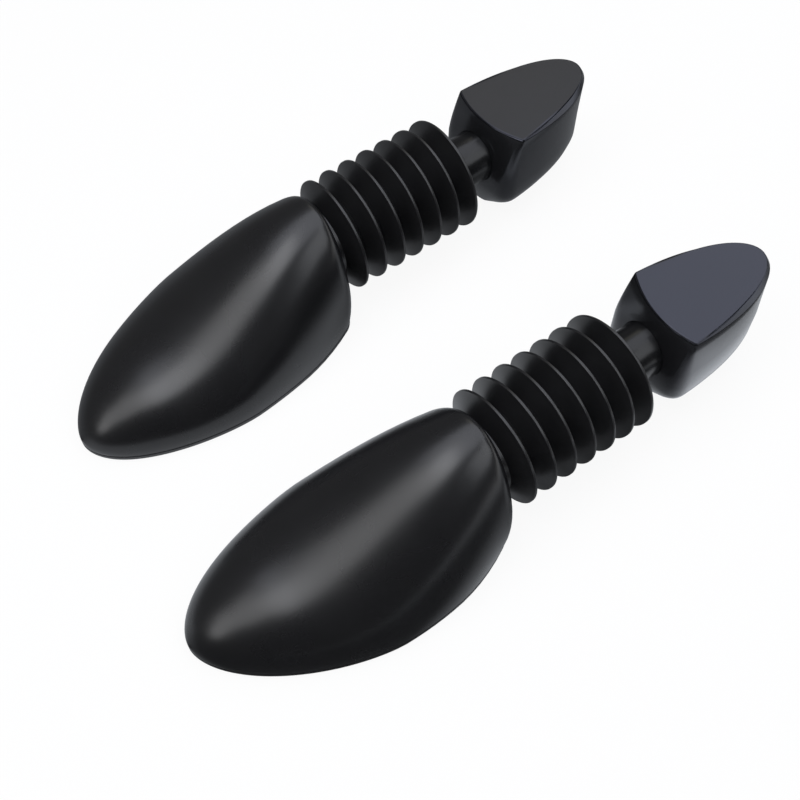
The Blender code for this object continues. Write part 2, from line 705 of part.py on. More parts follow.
def heel_lid(carriage, name, side, finish):
    """The flat lid with its chamfered rim and the plug that locates it in the shell."""
    plug_inset = HEEL_WALL + SEAT_GAP
    low = LID_BASE - LID_PLUG_DEPTH
    top = heel_outline(HEEL_HEIGHT, side)
    rings = [
        heel_ring(low, plug_inset, side),
        heel_ring(LID_BASE, plug_inset, side),
        heel_ring(LID_BASE, 0.0, side),
        at_height(swung(inset_outline(top, heel_rim(top, side)), side), HEEL_HEIGHT),
    ]
    add_object(name + "_heel_lid", loft(rings), carriage, (0, 0, 0), finish)


# Finishes: linear colour, roughness and, for metal, the metallic value
SATIN_BLACK = ((0.012, 0.012, 0.013), 0.42)
GLOSS_BLACK = ((0.011, 0.011, 0.013), 0.26)
POLISHED_BLACK = ((0.011, 0.011, 0.013), 0.20)
RUBBER_BLACK = ((0.009, 0.009, 0.010), 0.55)
MOULDED_BLACK = ((0.015, 0.015, 0.016), 0.50)
SPRING_STEEL = ((0.56, 0.57, 0.58), 0.30, 1.0)


def shoe_tree(name, side):
    """One tree: the fixed half on its own empty and the sliding half on a carriage."""
    tree = bpy.data.objects.new(name + "_tree", None)
    bpy.context.collection.objects.link(tree)
    tree.location = (side * PAIR_SPACING / 2, -side * PAIR_STAGGER / 2, AXIS_HEIGHT)
    carriage = bpy.data.objects.new(name + "_carriage", None)
    bpy.context.collection.objects.link(carriage)
    carriage.parent = tree
    carriage.location = (0, HEEL_FRONT_Y, 0)

    forefoot_shell(tree, name, side, SATIN_BLACK)
    forefoot_sole(tree, name, side, MOULDED_BLACK)
    front_collar(tree, name, MOULDED_BLACK)
    guide_tube(tree, name, MOULDED_BLACK)
    bellows(tree, name, RUBBER_BLACK)
    return_spring(tree, name, SPRING_STEEL)
    heel_stem(carriage, name, GLOSS_BLACK)
    stop_ring(carriage, name, MOULDED_BLACK)
    stop_screw(carriage, name, SPRING_STEEL)
    rear_collar(carriage, name, MOULDED_BLACK)
    heel_pin(carriage, name, SPRING_STEEL)
    heel_shell(carriage, name, side, GLOSS_BLACK)
    heel_lid(carriage, name, side, POLISHED_BLACK)


clear_scene()
shoe_tree("left", 1)
shoe_tree("right", -1)
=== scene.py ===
import math

import bmesh
import bpy
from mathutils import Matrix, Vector


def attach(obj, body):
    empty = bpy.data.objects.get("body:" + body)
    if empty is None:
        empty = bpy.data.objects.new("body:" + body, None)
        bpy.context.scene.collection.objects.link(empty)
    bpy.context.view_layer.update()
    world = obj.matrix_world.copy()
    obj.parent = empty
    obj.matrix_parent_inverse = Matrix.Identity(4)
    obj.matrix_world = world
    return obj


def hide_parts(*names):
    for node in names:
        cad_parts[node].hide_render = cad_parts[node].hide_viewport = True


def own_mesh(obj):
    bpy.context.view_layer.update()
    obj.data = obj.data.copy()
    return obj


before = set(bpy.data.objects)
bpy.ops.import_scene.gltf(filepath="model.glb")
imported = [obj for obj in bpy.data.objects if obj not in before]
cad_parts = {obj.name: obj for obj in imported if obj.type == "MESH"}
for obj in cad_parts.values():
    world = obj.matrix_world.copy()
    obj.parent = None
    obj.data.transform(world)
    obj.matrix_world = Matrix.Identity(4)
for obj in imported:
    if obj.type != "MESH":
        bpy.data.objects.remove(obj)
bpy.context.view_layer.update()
bpy.ops.object.select_all(action="DESELECT")


# Forefoot last. The hollow front half of each tree is one moulding in satin black plastic,
# open below, drawn in at its lower rear edge, with a hole in its rear wall for the guide tube.
# Everything is modelled about the axis of a left tree, and its mirror image is the right one.

axis_height = 0.0324
tree_spacing = 0.130
tree_stagger = 0.010
toe_y = -0.1445
last_length = 0.1350
last_base = 0.0033
last_wall = 0.0026
ball_half_width = 0.0407
ball_from_toe = 0.0713
rear_half_width = 0.0294
rear_height = 0.05996
toe_height = 0.0241
toe_nose = 0.0372
toe_rise = 0.0030
toe_swing = 0.0103
toe_taper = 1.54
toe_roundness = 1.84
waist_curve = 2.1
instep_curve = 1.35
arch_fullness = 1.06
rear_set = 0.0007
rear_edge_round = 0.0037
rear_corner_round = 0.0066
base_edge_round = 0.0003
base_tuck = 0.0043
tuck_start = 0.0975
tuck_height = 0.0298
hollow_below = 0.003
guide_hole_radius = 0.0113
guide_hole_depth = 0.0104


def last_half_width(station):
    if station < ball_from_toe:
        share = 1.0 - station / ball_from_toe
        return ball_half_width * (1.0 - share ** toe_taper) ** (1.0 / toe_roundness)
    share = (station - ball_from_toe) / (last_length - ball_from_toe)
    return ball_half_width - (ball_half_width - rear_half_width) * share ** waist_curve


def last_height(station):
    share = station / last_length
    rise = (1.0 - math.cos(math.pi * share ** instep_curve)) / 2
    height = toe_height + (rear_height - toe_height) * rise
    if station < toe_nose:
        left = 1.0 - station / toe_nose
        height *= math.sqrt(1.0 - left ** 2)
        height = (height ** 3 + ((last_base + toe_rise) * left) ** 3) ** (1 / 3)
    return height


def last_centre(station):
    return -rear_set - toe_swing * (1.0 - station / last_length) ** 2


def last_rounding(station, radius, wall):
    past = max(station - (last_length - radius), 0.0)
    inner = radius - wall
    return inner - math.sqrt(max(inner ** 2 - past ** 2, 0.0))


def last_side(station, wall):
    return last_half_width(station) - wall - last_rounding(station, rear_corner_round, wall)


def last_tuck(station):
    return base_tuck * (max(station - tuck_start, 0.0) / (last_length - tuck_start)) ** 2


def last_stations(count, turns):
    """Places along the last, close together at the toe and round the rear corners."""
    first = 0.00001
    start = last_length - rear_corner_round
    stations = [first + (start - first) * (i / (count - 1)) ** 2 for i in range(count)]
    for i in range(1, turns + 1):
        stations.append(start + rear_corner_round * math.sin(math.pi / 2 * i / turns))
    return stations


def last_ring(station, wall, low, edge, points):
    """One arched section with a flat base and softened lower edges, inside a wall."""
    centre = last_centre(station)
    half_width = last_side(station, wall)
    tuck = last_tuck(station)
    crown = last_height(station) - wall - last_rounding(station, rear_edge_round, wall)
    edge = min(edge, 0.3 * half_width)
    ring = [(centre + half_width - tuck - edge, toe_y + station, low - axis_height)]
    for i in range(points):
        angle = math.pi * i / (points - 1)
        across = math.copysign(abs(math.cos(angle)) ** (1 / arch_fullness), math.cos(angle))
        up = low + edge + (crown - low - edge) * abs(math.sin(angle)) ** (1 / arch_fullness)
        share = max(1.0 - max(up - last_base, 0.0) / tuck_height, 0.0) ** 2
        out = half_width * across - math.copysign(tuck * share, across)
        ring.append((centre + out, toe_y + station, up - axis_height))
    ring.append((centre - half_width + tuck + edge, toe_y + station, low - axis_height))
    return ring


def draw_through(rings):
    """Bend a circle to the first ring, then extrude it through the others and close the ends."""
    bpy.ops.object.select_all(action="DESELECT")
    bpy.ops.mesh.primitive_circle_add(vertices=len(rings[0]), radius=0.01)
    piece = bpy.context.object
    bpy.ops.object.mode_set(mode="EDIT")
    form = bmesh.from_edit_mesh(piece.data)
    place = form.verts.layers.int.new("place")
    for i, vert in enumerate(form.verts):
        vert[place] = i
        vert.co = rings[0][i]
    bmesh.update_edit_mesh(piece.data)
    for ring in rings[1:]:
        bpy.ops.mesh.extrude_edges_move()
        form = bmesh.from_edit_mesh(piece.data)
        place = form.verts.layers.int["place"]
        for vert in form.verts:
            if vert.select:
                vert.co = ring[vert[place]]
        bmesh.update_edit_mesh(piece.data)
    bpy.ops.mesh.select_all(action="SELECT")
    bpy.ops.mesh.fill_holes(sides=0)
    bpy.ops.mesh.select_all(action="SELECT")
    bpy.ops.mesh.normals_make_consistent(inside=False)
    bpy.ops.object.mode_set(mode="OBJECT")
    piece.data.attributes.remove(piece.data.attributes["place"])
    return piece


def pick(piece):
    """Leave one piece selected and active, for the operator that follows."""
    bpy.ops.object.select_all(action="DESELECT")
    piece.select_set(True)
    bpy.context.view_layer.objects.active = piece


def shape_with(piece, tool, operation):
    """Cut a tool out of a piece, or join it on, and put the tool away."""
    step = piece.modifiers.new("shape", "BOOLEAN")
    step.object = tool
    step.operation = operation
    step.solver = "EXACT"
    pick(piece)
    bpy.ops.object.modifier_apply(modifier=step.name)
    bpy.data.objects.remove(tool, do_unlink=True)


def round_rod(radius, length, start, along="Y"):
    """A round bar from a start point, along the axis of the tree or upright."""
    turned = (-math.pi / 2, 0, 0) if along == "Y" else (0, 0, 0)
    way = Vector((0, length / 2, 0)) if along == "Y" else Vector((0, 0, length / 2))
    bpy.ops.object.select_all(action="DESELECT")
    bpy.ops.mesh.primitive_cylinder_add(vertices=64, radius=radius, depth=length,
                                        location=Vector(start) + way, rotation=turned)
    bpy.ops.object.transform_apply(location=True, rotation=True, scale=True)
    return bpy.context.object


def set_in_pair(piece, name, half, node, finish, smooth_angle=35.0):
    """Make the left piece and its mirror image on the right, each on its body and for its node."""
    pick(piece)
    bpy.ops.object.shade_smooth_by_angle(angle=math.radians(smooth_angle))
    piece.data.materials.clear()
    piece.data.materials.append(finish)
    bpy.ops.object.duplicate(linked=False)
    twin = bpy.context.object
    twin.scale = (-1, 1, 1)
    piece.location = (tree_spacing / 2, -tree_stagger / 2, axis_height)
    twin.location = (-tree_spacing / 2, tree_stagger / 2, axis_height)
    made = []
    for side, part in (("left", piece), ("right", twin)):
        pick(part)
        bpy.ops.object.transform_apply(location=True, rotation=True, scale=True)
        form = bmesh.new()
        form.from_mesh(part.data)
        if form.calc_volume(signed=True) < 0.0:
            bmesh.ops.reverse_faces(form, faces=form.faces)
            form.to_mesh(part.data)
        form.free()
        part.name = part.data.name = f"{side}_{name}"
        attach(part, "forefeet" if half == "forefoot" else f"{side}_heel")
        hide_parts(f"{side}_{node}")
        made.append(part)
    return made


def feed(tree, socket, value):
    """Link a node's input to the output that feeds it, or set it to a fixed value."""
    if isinstance(value, bpy.types.NodeSocket):
        tree.links.new(value, socket)
    else:
        socket.default_value = value


def reckon(tree, operation, *values, clamp=False):
    """Work with fixed numbers or other nodes' outputs, and hold the result in 0...1 if asked."""
    node = tree.nodes.new("ShaderNodeMath")
    node.operation = operation
    node.use_clamp = clamp
    for socket, value in zip(node.inputs, values):
        feed(tree, socket, value)
    return node.outputs["Value"]


def grade(tree, value, start, end, low=0.0, high=1.0):
    """Rise or fall from low to high as a value goes from start to end, and stay level outside."""
    node = tree.nodes.new("ShaderNodeMapRange")
    feed(tree, node.inputs["Value"], value)
    node.inputs["From Min"].default_value = start
    node.inputs["From Max"].default_value = end
    node.inputs["To Min"].default_value = low
    node.inputs["To Max"].default_value = high
    return node.outputs["Result"]


def mottle(tree, place, scale, detail):
    """Noise that stays fixed to a place in the object."""
    node = tree.nodes.new("ShaderNodeTexNoise")
    feed(tree, node.inputs["Vector"], place)
    feed(tree, node.inputs["Scale"], scale)
    node.inputs["Detail"].default_value = detail
    return node.outputs["Fac"]


def mix(tree, kind, share, first, second):
    """Go from a first to a second colour or number by a share."""
    node = tree.nodes.new("ShaderNodeMix")
    node.data_type = kind
    feed(tree, node.inputs["Factor"], share)
    feed(tree, node.inputs["A"], first)
    feed(tree, node.inputs["B"], second)
    return node.outputs["Result"]


def moulded_grain():
    """Fine mould grain, slow drifts of gloss and rare scuffs, from a place in the object."""
    group = bpy.data.node_groups.new("moulded_grain", "ShaderNodeTree")
    face = group.interface
    face.new_socket("Place", in_out="INPUT", socket_type="NodeSocketVector")
    for name, usual in (("Grain Scale", 2500.0), ("Roughness", 0.4), ("Drift", 0.06), ("Scuffs", 0.3)):
        face.new_socket(name, in_out="INPUT", socket_type="NodeSocketFloat").default_value = usual
    for name in ("Height", "Roughness", "Scuff"):
        face.new_socket(name, in_out="OUTPUT", socket_type="NodeSocketFloat")
    given = group.nodes.new("NodeGroupInput")
    result = group.nodes.new("NodeGroupOutput")
    grain = mottle(group, given.outputs["Place"], given.outputs["Grain Scale"], 3.0)
    drift = mottle(group, given.outputs["Place"], 45.0, 2.0)
    stretch = group.nodes.new("ShaderNodeMapping")
    stretch.inputs["Rotation"].default_value = (0.0, 0.0, 0.5)
    stretch.inputs["Scale"].default_value = (900.0, 60.0, 500.0)
    feed(group, stretch.inputs["Vector"], given.outputs["Place"])
    scratch = mottle(group, stretch.outputs["Vector"], 1.0, 4.0)
    rare = grade(group, scratch, 0.66, 0.74)
    scuff = reckon(group, "MULTIPLY", rare, given.outputs["Scuffs"])
    swing = reckon(group, "SUBTRACT", drift, 0.5)
    wander = reckon(group, "MULTIPLY_ADD", swing, given.outputs["Drift"], given.outputs["Roughness"])
    rough = reckon(group, "MULTIPLY_ADD", scuff, 0.15, wander, clamp=True)
    height = reckon(group, "SUBTRACT", grain, scuff)
    feed(group, result.inputs["Height"], height)
    feed(group, result.inputs["Roughness"], rough)
    feed(group, result.inputs["Scuff"], scuff)
    return group


grain_group = moulded_grain()


def lay_grain(tree, place, roughness, drift, grain_scale, depth, scuffs):
    """Give a material's shader the grain with its own values, and hand back the scuffs."""
    grain = tree.nodes.new("ShaderNodeGroup")
    grain.node_tree = grain_group
    feed(tree, grain.inputs["Place"], place)
    grain.inputs["Grain Scale"].default_value = grain_scale
    grain.inputs["Roughness"].default_value = roughness
    grain.inputs["Drift"].default_value = drift
    grain.inputs["Scuffs"].default_value = scuffs
    bump = tree.nodes.new("ShaderNodeBump")
    bump.inputs["Strength"].default_value = 0.5
    bump.inputs["Distance"].default_value = depth
    feed(tree, bump.inputs["Height"], grain.outputs["Height"])
    shader = tree.nodes["Principled BSDF"]
    feed(tree, shader.inputs["Roughness"], grain.outputs["Roughness"])
    feed(tree, shader.inputs["Normal"], bump.outputs["Normal"])
    return grain.outputs["Scuff"]


def moulded_plastic(name, dark, light, roughness, drift, grain_scale, depth, scuffs):
    """Black moulded plastic: two close tones, a mould grain and a few pale scuffs."""
    material = bpy.data.materials.new(name)
    material.use_nodes = True
    tree = material.node_tree
    place = tree.nodes.new("ShaderNodeTexCoord").outputs["Object"]
    scuff = lay_grain(tree, place, roughness, drift, grain_scale, depth, scuffs)
    cloud = mottle(tree, place, 70.0, 5.0)
    mark = reckon(tree, "ADD", cloud, scuff, clamp=True)
    tone = mix(tree, "RGBA", mark, (*dark, 1.0), (*light, 1.0))
    feed(tree, tree.nodes["Principled BSDF"].inputs["Base Color"], tone)
    return material


satin_black = moulded_plastic("satin_black", (0.0065, 0.0065, 0.0072), (0.0095, 0.0095, 0.0105),
                              0.28, 0.08, 2600.0, 0.000008, 0.25)

shell_stations = last_stations(44, 10)
last = draw_through([last_ring(station, 0.0, last_base, base_edge_round, 57) for station in shell_stations])
hollow_first = 2 * last_wall
hollow_last = last_length - last_wall
hollow_stations = [hollow_first + (hollow_last - hollow_first) * (i / 23) ** 1.5 for i in range(24)]
hollow = draw_through([last_ring(station, last_wall, last_base - hollow_below, 0.0, 41)
                       for station in hollow_stations])
shape_with(last, hollow, "DIFFERENCE")
wall_y = toe_y + last_length
guide_hole = round_rod(guide_hole_radius, guide_hole_depth, (0, wall_y - guide_hole_depth / 2, 0))
shape_with(last, guide_hole, "DIFFERENCE")
set_in_pair(last, "forefoot_moulding", "forefoot", "forefoot_shell", satin_black)


# Sole plate. A thin plate of matt black plastic closes the forefoot from below. Its lower
# edge is rounded, and a rib on it stands up inside the moulding and holds it in place.

sole_thickness = 0.0030
sole_edge_round = 0.0010
sole_edge_cut = 0.29 * sole_edge_round
sole_top_edge = 0.0003
rib_height = 0.0030
rib_width = 0.0016
rib_gap = 0.0008

sole_black = moulded_plastic("sole_black", (0.0100, 0.0100, 0.0110), (0.0170, 0.0170, 0.0185),
                             0.50, 0.08, 1800.0, 0.000020, 0.5)


def last_outline(stations, wall, gap):
    """Plan outline of the last's lower edge, inside a wall and a gap."""
    lateral = []
    medial = []
    for station in stations:
        half_width = last_side(station, wall) - last_tuck(station) - gap
        lateral.append((last_centre(station) + half_width, toe_y + station))
        medial.append((last_centre(station) - half_width, toe_y + station))
    return lateral + medial[::-1]


def draw_in(points, widths):
    """Draw each point of a closed plan outline in by its own width."""
    moved = []
    for i, ((x, y), width) in enumerate(zip(points, widths)):
        before = Vector((x, y)) - Vector(points[i - 1])
        after = Vector(points[(i + 1) % len(points)]) - Vector((x, y))
        first = Vector((-before.y, before.x)).normalized()
        second = Vector((-after.y, after.x)).normalized()
        step = (first + second) * (width / (1.0 + first.dot(second)))
        moved.append((x + step.x, y + step.y))
    return moved


def plan_inset(points, width):
    """Draw a closed plan outline in by the same width all round."""
    return draw_in(points, [width] * len(points))


def lift(points, height):
    """Raise a plan outline to a height above the ground."""
    return [(x, y, height - axis_height) for x, y in points]


outline = last_outline(shell_stations, 0.0, 0.0)
sole = draw_through([
    lift(plan_inset(outline, sole_edge_round), 0.0),
    lift(plan_inset(outline, sole_edge_cut), sole_edge_cut),
    lift(outline, sole_edge_round),
    lift(outline, sole_thickness - sole_top_edge),
    lift(plan_inset(outline, sole_top_edge), sole_thickness),
])
rib_outer = last_outline(hollow_stations[1:-1], last_wall, rib_gap)
rib_inner = plan_inset(rib_outer, rib_width)
rib = draw_through([
    lift(rib_outer, sole_thickness / 2),
    lift(rib_outer, sole_thickness + rib_height),
    lift(rib_inner, sole_thickness + rib_height),
    lift(rib_inner, sole_thickness - 0.0001),
])
shape_with(sole, rib, "UNION")
set_in_pair(sole, "sole_plate", "forefoot", "forefoot_sole", sole_black)


# Guide tube. A flanged tube of matt black plastic runs from the forefoot into the bellows.
# The stem slides in it: its lip stops the stem's ring, and a slot above keeps it from turning.

seat_gap = 0.0003
guide_front_y = -0.0428
guide_mouth_y = 0.0165
guide_lip_y = 0.0025
guide_radius = 0.0110
guide_bore = 0.0098
guide_lip_radius = 0.0083
flange_radius = 0.0150
flange_thickness = 0.0025
flange_rear = wall_y - last_wall - seat_gap
key_slot_width = 0.0036
key_slot_height = 0.0024
key_slot_front = guide_front_y - 0.005
key_slot_middle = (0, (key_slot_front + guide_lip_y) / 2, guide_bore + 0.0006)

inner_black = moulded_plastic("inner_black", (0.0115, 0.0115, 0.0120), (0.0190, 0.0190, 0.0200),
                              0.46, 0.08, 2000.0, 0.000015, 0.4)


def turn_outline(outline, steps):
    """Spin a closed outline of radius and y about the axis of the tree."""
    bpy.ops.object.select_all(action="DESELECT")
    bpy.ops.mesh.primitive_circle_add(vertices=len(outline), radius=0.01)
    piece = bpy.context.object
    bpy.ops.object.mode_set(mode="EDIT")
    form = bmesh.from_edit_mesh(piece.data)
    for vert, (radius, y) in zip(form.verts, outline):
        vert.co = (radius, y, 0.0)
    bmesh.update_edit_mesh(piece.data)
    bpy.ops.mesh.select_all(action="SELECT")
    bpy.ops.mesh.spin(steps=steps, angle=math.tau, center=(0, 0, 0), axis=(0, 1, 0))
    bpy.ops.mesh.select_all(action="SELECT")
    bpy.ops.mesh.remove_doubles(threshold=0.000001)
    bpy.ops.mesh.normals_make_consistent(inside=False)
    bpy.ops.object.mode_set(mode="OBJECT")
    return piece


def break_edges(piece, width):
    """Take the sharpness off every hard edge of a turned piece."""
    step = piece.modifiers.new("edges", "BEVEL")
    step.width = width
    step.segments = 2
    step.limit_method = "ANGLE"
    step.angle_limit = math.radians(40)
    pick(piece)
    bpy.ops.object.modifier_apply(modifier=step.name)


def square_bar(middle, size):
    """A square-edged bar about a middle point."""
    bpy.ops.object.select_all(action="DESELECT")
    bpy.ops.mesh.primitive_cube_add(size=1.0, location=middle, scale=size)
    bpy.ops.object.transform_apply(location=True, rotation=True, scale=True)
    return bpy.context.object


guide = turn_outline([
    (guide_bore, guide_front_y),
    (guide_radius, guide_front_y),
    (guide_radius, flange_rear - flange_thickness),
    (flange_radius, flange_rear - flange_thickness),
    (flange_radius, flange_rear),
    (guide_radius, flange_rear),
    (guide_radius, guide_mouth_y),
    (guide_lip_radius, guide_mouth_y),
    (guide_lip_radius, guide_lip_y),
    (guide_bore, guide_lip_y),
], 64)
break_edges(guide, 0.00025)
key_slot = square_bar(key_slot_middle, (key_slot_width, guide_lip_y - key_slot_front, key_slot_height))
shape_with(guide, key_slot, "DIFFERENCE")
set_in_pair(guide, "guide_sleeve", "forefoot", "guide_tube", inner_black)


# Front collar. A ring of matt black plastic round the guide tube, behind the rear wall. The
# bellows' front cuff is stretched over it, and the spring stands on its rear face.

collar_radius = 0.0162
collar_length = 0.0040
collar_edge = 0.0003
front_collar_y = wall_y + seat_gap

front_collar = turn_outline([
    (guide_hole_radius, front_collar_y),
    (collar_radius, front_collar_y),
    (collar_radius, front_collar_y + collar_length),
    (guide_hole_radius, front_collar_y + collar_length),
], 64)
break_edges(front_collar, collar_edge)
set_in_pair(front_collar, "front_ring", "forefoot", "front_collar", inner_black)


# Bellows. Seven sharp pleats in matt black rubber, slightly hollow on their flanks, with
# narrow rounded crests. It shortens as the heel block slides in.

pleats = 7
pleat_pitch = 0.01035
first_crest_y = -0.0015
last_crest_y = first_crest_y + (pleats - 1) * pleat_pitch
crest_radius = 0.0270
crest_half_width = 0.0006
crest_round = 0.0002
fold_half_width = 0.0001
flank_hollow = 0.00035
valley_radius = 0.0175
rubber_wall = 0.0010
cuff_radius = 0.0138
cuff_bore = 0.0128
cuff_edge = 0.0003
cuff_start = last_crest_y + 0.0015
cuff_end = last_crest_y + 0.0045
last_flank_reach = 0.0025


def pleat_side(crest, way, valley, reach):
    """One outer flank from the valley up to the crest, slightly hollow, then round the crest."""
    points = []
    for share in (0.0, 0.06, 0.3, 0.6, 0.88):
        sag = flank_hollow * math.sin(math.pi * share)
        radius = valley + (crest_radius - crest_round - valley) * share
        points.append((radius, crest + way * (reach + (crest_half_width - reach) * share - sag)))
    for step in range(4):
        angle = math.pi / 2 * step / 3
        points.append((crest_radius - crest_round * (1 - math.sin(angle)),
                       crest + way * (crest_half_width - crest_round * (1 - math.cos(angle)))))
    return points


outer = [(valley_radius, front_collar_y)]
inner = [(valley_radius - rubber_wall, front_collar_y)]
for i in range(pleats):
    crest = first_crest_y + i * pleat_pitch
    ahead = pleat_pitch / 2
    outer += pleat_side(crest, -1, valley_radius, ahead)
    if i < pleats - 1:
        outer += pleat_side(crest, 1, valley_radius, ahead)[:0:-1]
    else:
        outer += pleat_side(crest, 1, cuff_radius, last_flank_reach)[::-1]
    inner.append((valley_radius - rubber_wall, crest - ahead))
    inner.append((crest_radius - rubber_wall, crest - fold_half_width))
    inner.append((crest_radius - rubber_wall, crest + fold_half_width))
outer.append((cuff_radius, cuff_end - cuff_edge))
outer.append((cuff_radius - cuff_edge, cuff_end))
inner.append((cuff_bore, cuff_start))
inner.append((cuff_bore, cuff_end))

rubber = bpy.data.materials.new("bellows_rubber")
rubber.use_nodes = True
tree = rubber.node_tree
place = tree.nodes.new("ShaderNodeTexCoord").outputs["Object"]
lay_grain(tree, place, 0.32, 0.08, 1500.0, 0.000012, 0.2)
bloom = mottle(tree, place, 120.0, 6.0)
tone = mix(tree, "RGBA", bloom, (0.0075, 0.0075, 0.0082, 1.0), (0.0125, 0.0125, 0.0135, 1.0))
feed(tree, tree.nodes["Principled BSDF"].inputs["Base Color"], tone)

bellows = turn_outline(outer + inner[::-1], 112)
for part in set_in_pair(bellows, "pleated_rubber", "forefoot", "bellows", rubber, 50.0):
    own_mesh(part)


# Return spring. One coil spring of drawn steel wire under the bellows, with a close turn at
# each end, pushes the heel block out. It shortens with the bellows.

wire = 0.0018
coil_radius = 0.0128
turns = 9
turn_steps = 28
end_pitch = 0.0024
spring_front = front_collar_y + collar_length + seat_gap
rear_collar_y = last_crest_y - collar_length
spring_rear = rear_collar_y - seat_gap
spring_length = spring_rear - spring_front
open_pitch = (spring_length - wire - 2 * end_pitch) / (turns - 2)

steel = bpy.data.materials.new("spring_steel_wire")
steel.use_nodes = True
tree = steel.node_tree
shader = tree.nodes["Principled BSDF"]
shader.inputs["Metallic"].default_value = 1.0
place = tree.nodes.new("ShaderNodeTexCoord").outputs["Object"]
drawn = mottle(tree, place, 900.0, 4.0)
tone = mix(tree, "RGBA", drawn, (0.46, 0.47, 0.48, 1.0), (0.62, 0.63, 0.64, 1.0))
feed(tree, shader.inputs["Base Color"], tone)
feed(tree, shader.inputs["Roughness"], grade(tree, drawn, 0.0, 1.0, 0.22, 0.42))

bpy.ops.object.select_all(action="DESELECT")
bpy.ops.curve.primitive_nurbs_path_add()
coil = bpy.context.object
coil.data.splines.clear()
line = coil.data.splines.new("POLY")
line.points.add(turns * turn_steps)
for i, knot in enumerate(line.points):
    turn = i / turn_steps
    along = min(turn, 1.0) * end_pitch
    along += min(max(turn - 1.0, 0.0), turns - 2) * open_pitch
    along += max(turn - turns + 1.0, 0.0) * end_pitch
    angle = math.tau * turn
    knot.co = (coil_radius * math.cos(angle), spring_front + wire / 2 + along,
               coil_radius * math.sin(angle), 1.0)
coil.data.bevel_depth = wire / 2
coil.data.bevel_resolution = 3
coil.data.use_fill_caps = True
bpy.ops.object.convert(target="MESH")
coil = bpy.context.object
for part in set_in_pair(coil, "coil_wire", "forefoot", "return_spring", steel):
    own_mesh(part)


# Stem. A thick neck of satin black plastic between the bellows and the heel block, and the
# thinner rod in front of it that slides in the guide tube. It is one hollow moulding.

heel_front_y = 0.0795
stem_front_y = guide_lip_y
stem_radius = 0.0080
stem_bore = 0.0055
stem_front_wall = 0.006
neck_radius = 0.0125
neck_bore = 0.0095
neck_step_wall = 0.003
neck_start_y = last_crest_y + seat_gap
stem_end_y = heel_front_y + 0.0220
screw_hole = 0.0019
pin_y = heel_front_y + 0.0140
pin_hole_radius = 0.0018
pin_hole_length = 0.0376

neck_black = moulded_plastic("neck_black", (0.0055, 0.0057, 0.0062), (0.0085, 0.0087, 0.0095),
                             0.24, 0.06, 2600.0, 0.000006, 0.3)
neck_black.node_tree.nodes["Principled BSDF"].inputs["Specular IOR Level"].default_value = 0.34

stem = turn_outline([
    (screw_hole, stem_front_y),
    (stem_radius, stem_front_y),
    (stem_radius, neck_start_y),
    (neck_radius, neck_start_y),
    (neck_radius, stem_end_y),
    (neck_bore, stem_end_y),
    (neck_bore, neck_start_y + neck_step_wall),
    (stem_bore, neck_start_y + neck_step_wall),
    (stem_bore, stem_front_y + stem_front_wall),
    (screw_hole, stem_front_y + stem_front_wall),
], 96)
break_edges(stem, 0.0003)
pin_hole = round_rod(pin_hole_radius, pin_hole_length, (0, pin_y, -pin_hole_length / 2), "Z")
shape_with(stem, pin_hole, "DIFFERENCE")
set_in_pair(stem, "stem_moulding", "heel", "heel_stem", neck_black)


# Stop ring. A ring of matt black plastic with a key, on the front end of the stem. It meets
# the guide's lip at full length, and its key runs in the guide's slot.

stop_thickness = 0.0040
stop_y = stem_front_y - seat_gap - stop_thickness
stop_radius = 0.0095
key_width = 0.0030
key_length = 0.0036
key_root = stop_radius - 0.0012
key_top = 0.0107

stop = turn_outline([
    (screw_hole, stop_y),
    (stop_radius, stop_y),
    (stop_radius, stop_y + stop_thickness),
    (screw_hole, stop_y + stop_thickness),
], 64)
break_edges(stop, 0.0003)
key = square_bar((0, stop_y + stop_thickness / 2, (key_root + key_top) / 2),
                 (key_width, key_length, key_top - key_root))
shape_with(stop, key, "UNION")
set_in_pair(stop, "stop_disc", "heel", "stop_ring", inner_black)


# Stop screw. A small steel screw with a domed, cross-slotted head. It goes through the stop
# ring into the front wall of the stem and holds the ring on.

screw_radius = 0.0016
screw_tip = 0.0116
thread_end = 0.0106
head_radius = 0.0032
head_length = 0.0020
head_front = stop_y - seat_gap - head_length
cross_length = 0.0036
cross_width = 0.0006
cross_depth = 0.0018
centre_radius = 0.00002

screw = turn_outline([
    (centre_radius, head_front),
    (head_radius * 0.62, head_front + 0.00025),
    (head_radius * 0.92, head_front + 0.0008),
    (head_radius, head_front + 0.0013),
    (head_radius, head_front + head_length),
    (screw_radius, head_front + head_length),
    (screw_radius, head_front + thread_end),
    (screw_radius * 0.6, head_front + screw_tip),
    (centre_radius, head_front + screw_tip),
], 48)
for wide, high in ((cross_length, cross_width), (cross_width, cross_length)):
    shape_with(screw, square_bar((0, head_front, 0), (wide, cross_depth, high)), "DIFFERENCE")
set_in_pair(screw, "stop_fastener", "heel", "stop_screw", steel)


# Rear collar. A ring of matt black plastic on the stem that rests against the step of the
# neck, inside the last pleat. The spring pushes on its front face.

rear_collar_bore = stem_radius + seat_gap

rear_collar = turn_outline([
    (rear_collar_bore, rear_collar_y),
    (collar_radius, rear_collar_y),
    (collar_radius, rear_collar_y + collar_length),
    (rear_collar_bore, rear_collar_y + collar_length),
], 64)
break_edges(rear_collar, collar_edge)
set_in_pair(rear_collar, "rear_ring", "heel", "rear_collar", inner_black)


# Heel block. A hollow moulding in glossy black plastic: a bowed front that leans back, soft
# corners, a pointed half-oval rear and a narrow foot. A boss inside it takes the stem.

